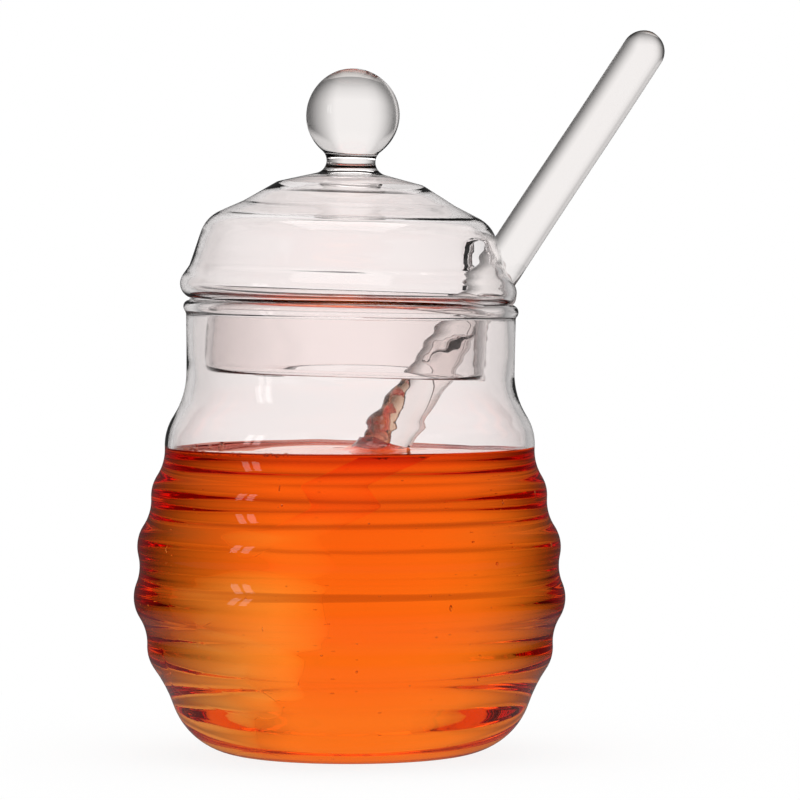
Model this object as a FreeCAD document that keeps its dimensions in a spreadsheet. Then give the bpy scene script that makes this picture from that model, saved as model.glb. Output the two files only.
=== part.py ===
import FreeCAD, Part
import math
import os
import re
import Sketcher

# A honey jar of clear blown glass: a bellied jar with ring-shaped ridges, a domed lid with a ball
# knob and a slot for the dipper, a ribbed glass dipper that leans in the jar, and the honey.
# Origin: centre of the foot, on the surface that the jar stands on. +Z is up, and the front is -Y.
# All lengths are millimetres and all angles are degrees.

DIMENSIONS = {
    # jar: foot and belly
    "foot_radius": 21.6,
    "foot_round": 14.9,
    "heel_round": 30.0,
    "ridge_base": 21.3,
    "ridge_pitch": 10.06,
    "ridge_round": 7.5,
    "groove_round": 9.5,
    "ridge_radius_first": 40.6,
    "ridge_radius_second": 43.2,
    "ridge_radius_third": 42.5,
    "ridge_radius_fourth": 39.6,
    # jar: shoulder, neck and rim
    "shoulder_radius": 36.9,
    "shoulder_rise": 11.42,
    "shoulder_round": 10.9,
    "neck_radius": 32.9,
    "neck_round": 16.6,
    "jar_height": 90.2,
    "bead_round": 1.35,
    "bead_overhang": 0.55,
    "bead_cove": 1.2,
    "jar_wall": 1.6,
    # honey
    "honey_level": 60.8,
    "honey_gap": 0.1,
    # lid, with heights above the bottom of its insert ring
    "lid_wall": 1.5,
    "ring_gap": 3.4,
    "seat_cove": 0.8,
    "roll_overhang": 0.15,
    "roll_round": 3.1,
    "roll_height": 17.2,
    "waist_inset": 2.0,
    "waist_height": 21.6,
    "waist_round": 1.6,
    "tier_inset": 3.65,
    "tier_height": 25.3,
    "tier_round": 7.2,
    "step_inset": 16.7,
    "step_height": 41.15,
    "step_round": 8.1,
    "crown_edge_inset": 17.75,
    "crown_edge_height": 36.0,
    "crown_edge_round": 2.2,
    "crown_slope": 14.0,
    "crown_round": 12.0,
    "knob_neck_radius": 4.9,
    "knob_cove": 2.6,
    "knob_round": 9.3,
    "knob_rise": 10.4,
    # slot in the lid
    "slot_gap": 4.4,
    "slot_headroom": 1.4,
    "slot_corner": 6.5,
    "slot_turn": 5.0,
    # seat of the lid on the rim
    "seat_gap": 0.25,
    "lid_shift": 0.9,
    # dipper, with heights above its tip
    "dipper_length": 164.5,
    "rod_radius": 4.1,
    "head_radius": 12.0,
    "head_reach": 21.0,
    "head_core": 6.4,
    "head_tip_round": 9.0,
    "ring_base": 2.4,
    "ring_pitch": 6.4,
    "ring_round": 1.45,
    "ring_groove": 1.35,
    "collar_round": 3.0,
    # where the dipper rests
    "rest_gap": 0.2,
    "rest_angle": 15.0,
    "dipper_azimuth": 14.0,
}

# sizes that follow from the ones above
RIDGE_ORDER = ("first", "second", "third", "fourth")
SHOULDER_HEIGHT = f"ridge_base + {len(RIDGE_ORDER) - 1} * ridge_pitch + shoulder_rise"
BEAD_RADIUS = "neck_radius + bead_overhang - bead_round"
BEAD_HEIGHT = "jar_height - bead_round"
RING_RADIUS = "neck_radius - jar_wall - ring_gap"
LID_RADIUS = "neck_radius + bead_overhang + roll_overhang"
CROWN_EDGE = f"{LID_RADIUS} - crown_edge_inset - crown_edge_round"
CROWN_CENTRE = (f"crown_edge_height + ({CROWN_EDGE}) * tan(crown_slope)"
                " + (crown_edge_round - crown_round) / cos(crown_slope)")
RING_COUNT = 6

# how the sketcher numbers its upright axis, its origin and the points of an arc
AXIS = -2
ORIGIN = -1
START, END, CENTRE = 1, 2, 3

# a length that counts as none, a whole turn, and the way that a pocket cut from the XZ plane goes
TOUCHING = 1e-6
FULL_TURN = 360.0
POCKET_AZIMUTH = 90.0

doc = FreeCAD.newDocument("HoneyJar")

sizes = doc.addObject("Spreadsheet::Sheet", "Sizes")
for row, (alias, value) in enumerate(DIMENSIONS.items(), start=1):
    sizes.set(f"A{row}", alias.replace("_", " "))
    sizes.set(f"B{row}", str(value))
    sizes.setAlias(f"B{row}", alias)
doc.recompute()


def bound(formula):
    """The formula with each alias of the sheet written in full, as other objects refer to it."""

    def in_full(word):
        return f"Sizes.{word[0]}" if word[0] in DIMENSIONS else word[0]

    return re.sub("[a-z_]{3,}", in_full, formula)


def number(formula):
    """What a formula of the sheet's aliases comes to."""
    return float(sizes.evalExpression(bound(formula)))


class Turn:
    """One round of an outline: an arc about a centre, to the left (1) or to the right (-1).

    across, up and radius are formulas. One that is None follows from the neighbours, and place
    then gives where the centre comes to lie. A radius of "0" makes the turn a plain corner.
    """

    def __init__(self, across, up, radius, side=1, place=None):
        self.across = across
        self.up = up
        self.radius = radius
        self.side = side
        self.x = number(across) if across else place[0]
        self.y = number(up) if up else place[1]
        self.r = number(radius)

    def is_corner(self):
        return self.radius == "0"

    def inset(self, thickness):
        """The same turn on a face that lies deeper in, by the thickness."""
        sign = "-" if self.side > 0 else "+"
        radius = f"{self.radius} {sign} {thickness}"
        return Turn(self.across, self.up, radius, self.side, (self.x, self.y))

    def back(self):
        """The same turn, met while coming the other way."""
        return Turn(self.across, self.up, self.radius, -self.side, (self.x, self.y))


def lining(wall, thickness):
    """The turns of a wall's inner face, in the order in which the outline comes back along it."""
    return [turn.inset(thickness).back() for turn in reversed(wall)]


def corner(across, up, place=None):
    return Turn(across, up, "0", 1, place)


def cove_between(lower, upper, radius):
    """A hollow round that touches the two bulging rounds beside it."""
    reach_lower = lower.r + number(radius)
    reach_upper = upper.r + number(radius)
    dx = upper.x - lower.x
    dy = upper.y - lower.y
    span = math.hypot(dx, dy)
    along = (reach_lower**2 - reach_upper**2 + span**2) / (2 * span)
    out = math.sqrt(reach_lower**2 - along**2)
    x = lower.x + (along * dx + out * dy) / span
    y = lower.y + (along * dy - out * dx) / span
    return Turn(None, None, radius, -1, (x, y))


def cove_beside(bulge, across, radius, above):
    """A hollow round that touches one bulging round and a straight wall, above or below it."""
    side_step = number(across) - bulge.x
    rise = math.sqrt((bulge.r + number(radius)) ** 2 - side_step**2)
    y = bulge.y + rise if above else bulge.y - rise
    return Turn(across, None, radius, -1, (0, y))


def tangent(first, second):
    """Where the straight line that joins two turns leaves the first and meets the second."""
    r_first = first.side * first.r
    r_second = second.side * second.r
    dx = second.x - first.x
    dy = second.y - first.y
    span = math.hypot(dx, dy)
    lean = max(-1.0, min(1.0, (r_second - r_first) / span))
    heading = math.atan2(dy, dx) - math.asin(lean)
    left = FreeCAD.Vector(-math.sin(heading), math.cos(heading), 0)
    leave = FreeCAD.Vector(first.x, first.y, 0) - left * r_first
    arrive = FreeCAD.Vector(second.x, second.y, 0) - left * r_second
    return leave, arrive


def add_arcs(sketch, turns, joins):
    """Add the arc of each turn. Gives the ends where the outline comes in and goes out, and the
    centres, each as (geometry, point), or None for a corner."""
    comes_in, goes_out, middles = [], [], []
    for k, turn in enumerate(turns):
        if turn.is_corner():
            comes_in.append(None)
            goes_out.append(None)
            middles.append(None)
            continue
        centre = FreeCAD.Vector(turn.x, turn.y, 0)
        inward = joins[k - 1][1] - centre
        outward = joins[k][0] - centre
        ends = [math.atan2(inward.y, inward.x), math.atan2(outward.y, outward.x)]
        points = [START, END]
        if turn.side < 0:
            ends.reverse()
            points.reverse()
        if ends[1] < ends[0]:
            ends[1] += 2 * math.pi
        circle = Part.Circle(centre, FreeCAD.Vector(0, 0, 1), turn.r)
        index = sketch.addGeometry(Part.ArcOfCircle(circle, ends[0], ends[1]), False)
        comes_in.append((index, points[0]))
        goes_out.append((index, points[1]))
        middles.append((index, CENTRE))
    return comes_in, goes_out, middles


def join_turns(sketch, turns, joins, comes_in, goes_out):
    """Add the lines between the arcs, and give the constraints that join it all end to end."""
    rules = []
    for k in range(len(turns)):
        after = (k + 1) % len(turns)
        leave, arrive = joins[k]
        if (arrive - leave).Length > TOUCHING:
            line = sketch.addGeometry(Part.LineSegment(leave, arrive), False)
            if goes_out[k]:
                rules.append(Sketcher.Constraint("Tangent", *goes_out[k], line, START))
            elif comes_in[k]:
                rules.append(Sketcher.Constraint("Coincident", *comes_in[k], line, START))
            else:
                comes_in[k] = (line, START)
            if comes_in[after] and not turns[after].is_corner():
                rules.append(Sketcher.Constraint("Tangent", line, END, *comes_in[after]))
            elif comes_in[after]:
                rules.append(Sketcher.Constraint("Coincident", line, END, *comes_in[after]))
            else:
                comes_in[after] = (line, END)
        elif turns[after].is_corner():
            comes_in[after] = goes_out[k]
        elif turns[k].is_corner():
            if comes_in[k]:
                rules.append(Sketcher.Constraint("Coincident", *comes_in[k], *comes_in[after]))
            comes_in[k] = comes_in[after]
        else:
            rules.append(Sketcher.Constraint("Tangent", *goes_out[k], *comes_in[after]))
    return rules


def place_turns(turns, points):
    """The constraints that place and size each turn, and the formula that each is bound to."""
    rules, named = [], []
    for k, (turn, point) in enumerate(zip(turns, points)):
        if turn.across == "0" and turn.up == "0":
            rules.append(Sketcher.Constraint("Coincident", *point, ORIGIN, START))
        elif turn.across == "0":
            rules.append(Sketcher.Constraint("PointOnObject", *point, AXIS))
        elif turn.across:
            rules.append(Sketcher.Constraint("DistanceX", ORIGIN, START, *point, turn.x))
            named.append((len(rules) - 1, f"across_{k}", turn.across))
        if turn.up and turn.up != "0":
            rules.append(Sketcher.Constraint("DistanceY", ORIGIN, START, *point, turn.y))
            named.append((len(rules) - 1, f"up_{k}", turn.up))
        if not turn.is_corner():
            rules.append(Sketcher.Constraint("Radius", point[0], turn.r))
            named.append((len(rules) - 1, f"radius_{k}", turn.radius))
    return rules, named


def draw(body, name, turns, offset=None):
    """A closed outline through the turns, as a sketch upright in the body's XZ plane.

    The arcs and the lines between them are tangent, and every given size is bound to the sheet.
    """
    sketch = body.newObject("Sketcher::SketchObject", name)
    plane = next(p for p in body.Origin.OriginFeatures if p.Role == "XZ_Plane")
    sketch.AttachmentSupport = (plane, [""])
    sketch.MapMode = "FlatFace"
    if offset:
        sketch.AttachmentOffset = offset
    joins = [tangent(turn, after) for turn, after in zip(turns, turns[1:] + turns[:1])]
    comes_in, goes_out, middles = add_arcs(sketch, turns, joins)
    joints = join_turns(sketch, turns, joins, comes_in, goes_out)
    places, named = place_turns(turns, [mid or end for mid, end in zip(middles, comes_in)])
    sketch.addConstraint(joints + places)
    for index, title, formula in named:
        sketch.renameConstraint(len(joints) + index, title)
        sketch.setExpression(f"Constraints.{title}", bound(formula))
    return sketch


def revolve(body, sketch):
    """Turn an outline about the body's upright axis."""
    feature = body.newObject("PartDesign::Revolution", f"{body.Label}_blown")
    feature.Profile = sketch
    feature.ReferenceAxis = (sketch, ["V_Axis"])
    feature.Angle = FULL_TURN
    sketch.Visibility = False
    doc.recompute()
    return feature


def jar_wall():
    """The turns of the jar's outer wall, from the foot up to the neck."""
    foot = Turn("foot_radius", "foot_round", "foot_round")
    turns = [foot]
    for k, order in enumerate(RIDGE_ORDER):
        across = f"ridge_radius_{order} - ridge_round"
        ridge = Turn(across, f"ridge_base + {k} * ridge_pitch", "ridge_round")
        hollow = "groove_round" if k else "heel_round"
        turns += [cove_between(turns[-1], ridge, hollow), ridge]
    shoulder = Turn("shoulder_radius - shoulder_round", SHOULDER_HEIGHT, "shoulder_round")
    turns += [cove_between(turns[-1], shoulder, "groove_round"), shoulder]
    turns.append(cove_beside(shoulder, "neck_radius + neck_round", "neck_round", above=True))
    return turns


def make_jar():
    """Blown wall of even thickness, with a fire-polished bead round the rim."""
    body = doc.addObject("PartDesign::Body", "jar")
    bead = Turn(BEAD_RADIUS, BEAD_HEIGHT, "bead_round")
    outer = cove_beside(bead, "neck_radius + bead_cove", "bead_cove", above=False)
    inner = cove_beside(bead, "neck_radius - jar_wall - bead_cove", "bead_cove", above=False)
    wall = jar_wall()
    turns = [corner("0", "0"), *wall, outer, bead, inner, *lining(wall, "jar_wall"), corner("0", "jar_wall")]
    revolve(body, draw(body, "jar_outline", turns))
    return body


def make_fill():
    """The room inside the jar up to the honey level, less the thin gap at the glass."""
    body = doc.addObject("PartDesign::Body", "fill")
    depth = "(jar_wall + honey_gap)"
    wall = [turn.inset(depth) for turn in jar_wall()]
    rim = corner(f"neck_radius - {depth}", "jar_height")
    turns = [corner("0", depth), *wall, rim, corner("0", "jar_height")]
    revolve(body, draw(body, "fill_outline", turns))
    above = body.newObject("Sketcher::SketchObject", "above_level")
    plane = next(p for p in body.Origin.OriginFeatures if p.Role == "XY_Plane")
    above.AttachmentSupport = (plane, [""])
    above.MapMode = "FlatFace"
    above.setExpression(".AttachmentOffset.Base.z", bound("honey_level"))
    beyond_wall = "2 * ridge_radius_second"
    circle = Part.Circle(FreeCAD.Vector(0, 0, 0), FreeCAD.Vector(0, 0, 1), number(beyond_wall))
    above.addGeometry(circle, False)
    above.addConstraint(Sketcher.Constraint("Coincident", 0, CENTRE, ORIGIN, START))
    above.addConstraint(Sketcher.Constraint("Radius", 0, number(beyond_wall)))
    above.setExpression("Constraints[1]", bound(beyond_wall))
    headroom = body.newObject("PartDesign::Pocket", "headroom")
    headroom.Profile = above
    headroom.Type = "ThroughAll"
    headroom.Reversed = True
    above.Visibility = False
    doc.recompute()
    return body


def lid_wall():
    """The turns of the lid's outer wall, from the insert ring up to the crown's edge."""
    roll = Turn(f"{LID_RADIUS} - roll_round", "roll_height", "roll_round")
    seat = cove_beside(roll, f"{RING_RADIUS} + seat_cove", "seat_cove", above=False)
    waist = Turn(f"{LID_RADIUS} - waist_inset + waist_round", "waist_height", "waist_round", -1)
    tier = Turn(f"{LID_RADIUS} - tier_inset - tier_round", "tier_height", "tier_round")
    step = Turn(f"{LID_RADIUS} - step_inset + step_round", "step_height", "step_round", -1)
    edge = Turn(CROWN_EDGE, "crown_edge_height", "crown_edge_round")
    return [seat, roll, waist, tier, step, edge]


def make_lid():
    """Hollow tiered dome with a rolled edge, an insert ring below and a solid ball knob on top."""
    body = doc.addObject("PartDesign::Body", "lid")
    lip = Turn(f"{RING_RADIUS} - lid_wall / 2", "lid_wall / 2", "lid_wall / 2")
    knob = Turn("0", f"{CROWN_CENTRE} + crown_round + knob_rise", "knob_round")
    neck = cove_beside(knob, "knob_neck_radius + knob_cove", "knob_cove", above=False)
    knob_top = corner("0", None, (0, knob.y + knob.r))
    crown = Turn("0", CROWN_CENTRE, "crown_round")
    crown_inside = corner("0", None, (0, crown.y + crown.r - number("lid_wall")))
    wall = lid_wall()
    turns = [lip, *wall, neck, knob, knob_top, crown_inside, *lining([*wall, crown], "lid_wall")]
    revolve(body, draw(body, "lid_outline", turns))
    return body


def cut_slot(body, lean):
    """The dipper's slot: through the insert ring, the rolled edge and the lower tier.

    Its arch clears the height at which the rod's upper side comes out through the lower tier.
    """
    before = body.Shape.Volume
    across_rod = number("2 * rod_radius + bead_round + rest_gap") / math.cos(lean)
    rod_side = number(BEAD_RADIUS) - across_rod
    climb = (number(f"{LID_RADIUS} - tier_inset") - rod_side) / math.tan(lean)
    top = climb + number("roll_height - roll_round - bead_round + slot_headroom")
    half = "(rod_radius + slot_gap)"
    arch = [Turn(f"{half} - slot_corner", f"{top:.3f} - slot_corner", "slot_corner"),
            Turn(f"slot_corner - {half}", f"{top:.3f} - slot_corner", "slot_corner")]
    below = f"0 - 2 * {half}"
    turns = [corner(f"0 - {half}", below), corner(half, below), *arch]
    turned = FreeCAD.Rotation(FreeCAD.Vector(0, 1, 0), number("dipper_azimuth + slot_turn") - POCKET_AZIMUTH)
    offset = FreeCAD.Placement(FreeCAD.Vector(0, 0, 0), turned)
    sketch = draw(body, "slot_outline", turns, offset)
    slot = body.newObject("PartDesign::Pocket", "slot")
    slot.Profile = sketch
    slot.Type = "ThroughAll"
    sketch.Visibility = False
    doc.recompute()
    if body.Shape.Volume > before - TOUCHING:
        raise RuntimeError("the slot cuts nothing")


def seat_lid(body):
    """The rolled edge rests on the bead at two opposite places, so the shifted lid leans a little."""
    reach = number("roll_round + bead_round + seat_gap")
    off = number(f"{BEAD_RADIUS} + roll_round - ({LID_RADIUS})")
    near = math.sqrt(reach**2 - (off - number("lid_shift")) ** 2)
    far = math.sqrt(reach**2 - (off + number("lid_shift")) ** 2)
    lean = math.degrees(math.atan2(near - far, 2 * number(f"{LID_RADIUS} - roll_round")))
    height = number(BEAD_HEIGHT) + (near + far) / 2
    turn = FreeCAD.Rotation(FreeCAD.Vector(0, 1, 0), lean)
    drop = turn.multVec(FreeCAD.Vector(0, 0, number("roll_height")))
    body.Placement = FreeCAD.Placement(FreeCAD.Vector(-number("lid_shift"), 0, height) - drop, turn)


def make_dipper():
    """Solid glass rod with a round top end and a head of stacked rings, each melted round."""
    body = doc.addObject("PartDesign::Body", "dipper")
    turns = [corner("0", None, (0, 0)), Turn("0", "head_tip_round", "head_tip_round")]
    for k in range(RING_COUNT):
        away = f"({k} - {(RING_COUNT - 1) / 2}) * ring_pitch / head_reach"
        across = f"head_radius * sqrt(1 - ({away}) ^ 2) - ring_round"
        ring = Turn(across, f"ring_base + {k} * ring_pitch", "ring_round")
        if k:
            up = f"ring_base + ({k} - 0.5) * ring_pitch"
            turns.append(Turn("head_core + ring_groove", up, "ring_groove", -1))
        turns.append(ring)
    turns.append(cove_beside(turns[-1], "rod_radius + collar_round", "collar_round", above=True))
    turns.append(Turn("0", "dipper_length - rod_radius", "rod_radius"))
    turns.append(corner("0", None, (0, number("dipper_length"))))
    revolve(body, draw(body, "dipper_outline", turns))
    return body, turns[2]


def rest_dipper(body, lowest_ring):
    """Lean the dipper between the rim's bead and the rounded wall at the foot, opposite the slot.

    Worked out in the upright plane through the jar's axis and the dipper: x grows towards the
    slot. The lowest ring touches the wall rest_angle below level, and the rod touches the bead.
    """
    hold = number("foot_round - jar_wall - rest_gap") - lowest_ring.r
    down = math.radians(number("rest_angle"))
    touch_x = -number("foot_radius") - hold * math.cos(down)
    touch_z = number("foot_round") - hold * math.sin(down)
    bead_x = number(BEAD_RADIUS) - touch_x
    bead_z = number(BEAD_HEIGHT) - touch_z
    beside = number("rod_radius + bead_round + rest_gap") + lowest_ring.x
    lean = math.atan2(bead_x, bead_z) - math.asin(beside / math.hypot(bead_x, bead_z))
    tip_x = touch_x - lowest_ring.y * math.sin(lean) + lowest_ring.x * math.cos(lean)
    tip_z = touch_z - lowest_ring.y * math.cos(lean) - lowest_ring.x * math.sin(lean)
    azimuth = FreeCAD.Rotation(FreeCAD.Vector(0, 0, 1), number("dipper_azimuth"))
    leaning = FreeCAD.Rotation(FreeCAD.Vector(0, 1, 0), math.degrees(lean))
    tip = azimuth.multVec(FreeCAD.Vector(tip_x, 0, tip_z))
    body.Placement = FreeCAD.Placement(tip, azimuth.multiply(leaning))
    print(f"dipper leans {math.degrees(lean):.2f} degrees, tip at {tip.x:.2f}, {tip.y:.2f}, {tip.z:.2f}")
    return lean


jar = make_jar()
dipper, lowest_ring = make_dipper()
lean = rest_dipper(dipper, lowest_ring)
lid = make_lid()
cut_slot(lid, lean)
seat_lid(lid)
fill = make_fill()
doc.recompute()

honey = doc.addObject("Part::Cut", "honey")
honey.Base = fill
honey.Tool = dipper
doc.recompute()

for thing in doc.Objects:
    if {"Invalid", "Error"} & set(thing.State):
        raise RuntimeError(f"{thing.Name} is in state {thing.State}")

os.makedirs("parts", exist_ok=True)
for node in (jar, lid, dipper, honey):
    shape = node.Shape
    if shape.isNull() or not shape.isValid() or len(shape.Solids) != 1:
        raise RuntimeError(f"{node.Label} is not one valid solid")
    shape.exportStep(f"parts/{node.Label}.step")
    print(f"{node.Label}: {shape.Volume / 1000:.1f} cm3, top at {shape.BoundBox.ZMax:.1f}")
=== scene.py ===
import math

import bmesh
import bpy
import numpy as np
from mathutils import Matrix, Vector


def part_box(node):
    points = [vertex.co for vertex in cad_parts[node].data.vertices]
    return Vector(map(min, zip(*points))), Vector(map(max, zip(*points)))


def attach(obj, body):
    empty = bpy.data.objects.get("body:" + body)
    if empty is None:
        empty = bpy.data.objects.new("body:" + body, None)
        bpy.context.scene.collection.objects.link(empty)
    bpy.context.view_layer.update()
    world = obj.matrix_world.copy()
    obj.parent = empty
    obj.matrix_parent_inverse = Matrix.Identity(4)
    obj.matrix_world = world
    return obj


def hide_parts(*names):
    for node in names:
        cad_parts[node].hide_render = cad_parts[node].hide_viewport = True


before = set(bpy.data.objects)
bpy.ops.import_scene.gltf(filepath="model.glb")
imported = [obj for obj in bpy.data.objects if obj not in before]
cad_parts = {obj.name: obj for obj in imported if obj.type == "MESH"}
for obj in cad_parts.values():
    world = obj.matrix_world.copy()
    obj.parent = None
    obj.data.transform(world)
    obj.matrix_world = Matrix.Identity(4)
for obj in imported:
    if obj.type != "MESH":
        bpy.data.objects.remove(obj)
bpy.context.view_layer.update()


# ---- Jar -----------------------------------------------------------------------------------
# The jar is blown from clear borosilicate glass in a ribbed mould. Its wall is thin and nearly
# even, so the rings show inside too. The rim is cut and melted back to a round bead.

MM = 0.001


class Link:
    """A node's output in a shader, on which Python's operators add Math nodes."""

    def __init__(self, shader, socket):
        self.shader = shader
        self.socket = socket

    def _math(self, operation, first, second):
        return self.shader.add("ShaderNodeMath", {"operation": operation}, {0: first, 1: second})

    def __add__(self, other):
        return self._math("ADD", self, other)

    def __sub__(self, other):
        return self._math("SUBTRACT", self, other)

    def __mul__(self, other):
        return self._math("MULTIPLY", self, other)

    def __truediv__(self, other):
        return self._math("DIVIDE", self, other)

    def __rsub__(self, other):
        return self._math("SUBTRACT", other, self)

    __radd__ = __add__
    __rmul__ = __mul__

    def least(self, other):
        return self._math("MINIMUM", self, other)


class Shader:
    """The node tree of a material or of the world."""

    def __init__(self, owner):
        owner.use_nodes = True
        self.tree = owner.node_tree
        self.tree.nodes.clear()

    def add(self, kind, settings=None, inputs=None, output=0):
        """A node with its settings and its inputs, as a Link to one of its outputs. The setting
        "stops" holds a ramp's places and colours."""
        node = self.tree.nodes.new(kind)
        for name, value in (settings or {}).items():
            if name == "stops":
                ramp = node.color_ramp
                while len(ramp.elements) < len(value):
                    ramp.elements.new(1.0)
                for stop, (place, shade) in zip(ramp.elements, value):
                    stop.position = place
                    stop.color = (*shade, 1.0)
            else:
                setattr(node, name, value)
        for name, value in (inputs or {}).items():
            if isinstance(value, Link):
                self.tree.links.new(value.socket, node.inputs[name])
            else:
                node.inputs[name].default_value = value
        return Link(self, node.outputs[output])

    def finish(self, kind, surface, volume=None):
        """The output node, with what it shows."""
        out = self.tree.nodes.new(kind)
        self.tree.links.new(surface.socket, out.inputs["Surface"])
        if volume:
            self.tree.links.new(volume.socket, out.inputs["Volume"])


def corner(across, up):
    """A peg of no size: a sharp corner, or an end on the axis."""
    return across, up, 0.0, 1


def cove_between(lower, upper_painted_shade, radius):
    """The hollow round that touches two bulging rounds from outside."""
    reach = lower[2] + radius
    dx, dz = upper_painted_shade[0] - lower[0], upper_painted_shade[1] - lower[1]
    span = math.hypot(dx, dz)
    along = (reach**2 - (upper_painted_shade[2] + radius) ** 2 + span**2) / (2 * span)
    out = math.sqrt(reach**2 - along**2)
    return lower[0] + (along * dx + out * dz) / span, lower[1] + (along * dz - out * dx) / span, radius, -1


def cove_beside(bulge, across, radius, way):
    """The hollow round that touches a bulging round and an upright wall, above it or below it."""
    rise = math.sqrt((bulge[2] + radius) ** 2 - (across - bulge[0]) ** 2)
    return across, bulge[1] + way * rise, radius, -1


def lining(wall, thickness):
    """The rounds of a wall's inner face, in the order that comes back along it."""
    return [(x, z, r - side * thickness, -side) for x, z, r, side in reversed(wall)]


def trace(pegs, bend=4.0, run=1.2):
    """Points and outward normals of the outline drawn round the pegs, closer than bend and run."""
    joins = []
    for (x0, z0, r0, s0), (x1, z1, r1, s1) in zip(pegs, pegs[1:]):
        lean = max(-1.0, min(1.0, (s1 * r1 - s0 * r0) / math.hypot(x1 - x0, z1 - z0)))
        heading = math.atan2(z1 - z0, x1 - x0) - math.asin(lean)
        right = np.array((math.sin(heading), -math.cos(heading)))
        joins.append((np.array((x0, z0)) + right * s0 * r0, np.array((x1, z1)) + right * s1 * r1, right))
    points, normals = [], []
    for k, (leave, arrive, right) in enumerate(joins):
        count = max(1, math.ceil(np.linalg.norm(arrive - leave) / run))
        for part in range(count + 1):
            points.append(leave + (arrive - leave) * part / count)
            normals.append(right)
        if k + 1 < len(joins):
            x, z, radius, side = pegs[k + 1]
            after = joins[k + 1][2]
            first = math.atan2(right[1], right[0])
            turn = (side * (math.atan2(after[1], after[0]) - first)) % (2 * math.pi)
            straight_on = turn > math.tau - 0.01
            steps = 0 if radius == 0.0 or straight_on else math.ceil(math.degrees(turn) / bend)
            for part in range(1, steps):
                angle = first + side * turn * part / steps
                normal = np.array((math.cos(angle), math.sin(angle)))
                points.append(np.array((x, z)) + normal * side * radius)
                normals.append(normal)
    kept = [0] + [k for k in range(1, len(points)) if np.linalg.norm(points[k] - points[k - 1]) > 1e-4]
    return np.array(points)[kept], np.array(normals)[kept]


def uneven(seed, size, angle, height, around=4, slowest=60.0, quickest=12.0, waves=9):
    """Seeded smooth unevenness of a hand-made wall, by angle and height, about as large as size."""
    draw = np.random.default_rng(seed)
    total = np.zeros(np.broadcast(angle, height).shape)
    for _ in range(waves):
        length = draw.uniform(quickest, slowest)
        total += draw.normal() * np.cos(
            draw.integers(0, around + 1) * angle + draw.choice((-1, 1)) * math.tau * height / length
            + draw.uniform(0, math.tau))
    return total * size / math.sqrt(waves)


def skin(name, rings, closed=True):
    """A smooth mesh through rings of points, each ring an array (columns, 3) in millimetres. A
    ring of one point is a pole. Rings close on themselves unless closed is False."""
    places, starts, faces = [], [], []
    for ring in rings:
        starts.append(len(places))
        places.extend(np.asarray(ring).reshape(-1, 3) * MM)
    for k in range(len(rings) - 1):
        a, b = starts[k], starts[k + 1]
        low, high = len(rings[k]), len(rings[k + 1])
        columns = max(low, high)
        for c in range(columns if closed else columns - 1):
            d = (c + 1) % columns
            if low == 1:
                faces.append((a, b + c, b + d))
            elif high == 1:
                faces.append((a + c, b, a + d))
            else:
                faces.append((a + c, b + c, b + d, a + d))
    mesh = bpy.data.meshes.new(name)
    mesh.from_pydata([tuple(place) for place in places], [], faces)
    mesh.polygons.foreach_set("use_smooth", [True] * len(faces))
    piece = bpy.data.objects.new(name, mesh)
    bpy.context.scene.collection.objects.link(piece)
    return piece


def tidy(piece, distance=1e-7):
    """Merge points that lie on each other and turn every face outwards."""
    work = bmesh.new()
    work.from_mesh(piece.data)
    bmesh.ops.remove_doubles(work, verts=work.verts, dist=distance)
    bmesh.ops.dissolve_degenerate(work, edges=work.edges, dist=distance)
    bmesh.ops.recalc_face_normals(work, faces=work.faces)
    if work.calc_volume(signed=True) < 0:
        bmesh.ops.reverse_faces(work, faces=work.faces)
    work.to_mesh(piece.data)
    work.free()
    return piece


def ring_at(radius, angle, up):
    """Points at these distances and angles round the Z axis, at one height or at one each."""
    return np.stack((radius * np.cos(angle), radius * np.sin(angle), up + 0 * angle), -1)


def turned(points, normals, columns, bulge):
    """Rings of a turned shape. bulge(angle, height, across) gives how far each point stands out."""
    angle = np.linspace(0.0, math.tau, columns, endpoint=False)
    rings = []
    for (across, up), (nx, nz) in zip(points, normals):
        if across < 1e-6:
            rings.append(np.array([(0.0, 0.0, up)]))
            continue
        out = bulge(angle, up, across)
        radius = across + nx * out
        rings.append(ring_at(radius, angle, up + nz * out))
    return rings


def is_inside(face):
    """Whether a face of the jar looks at the jar's axis, or up from its bottom."""
    return face.normal.xy.dot(face.center.xy) < 0 or face.normal.z > 0.9 and face.center.z < 0.01


JAR_FOOT = (21.6, 14.9, 14.9, 1)
JAR_RIDGES = ((40.6, 21.3), (43.2, 31.36), (42.5, 41.42), (39.6, 51.48))
JAR_RIDGE_ROUND = 7.5
JAR_COVE_ROUND = 9.5
JAR_FOOT_COVE_ROUND = 30.0
JAR_SHOULDER = (26.0, 61.9, 10.9, 1)
JAR_NECK = 32.9
JAR_NECK_COVE_ROUND = 16.6
JAR_WALL = 1.6
JAR_COLUMNS = 288
RIM_ROUND = 1.35
RIM_STAND = 0.55
RIM_COVE_ROUND = 1.2
RIM_SLANT_FROM = 72.0
RIM_SLANT = 0.021

foot = Vector((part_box("jar")[0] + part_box("jar")[1])) / 2
foot.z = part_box("jar")[0].z
rim_height = (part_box("jar")[1].z - foot.z) / MM

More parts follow.
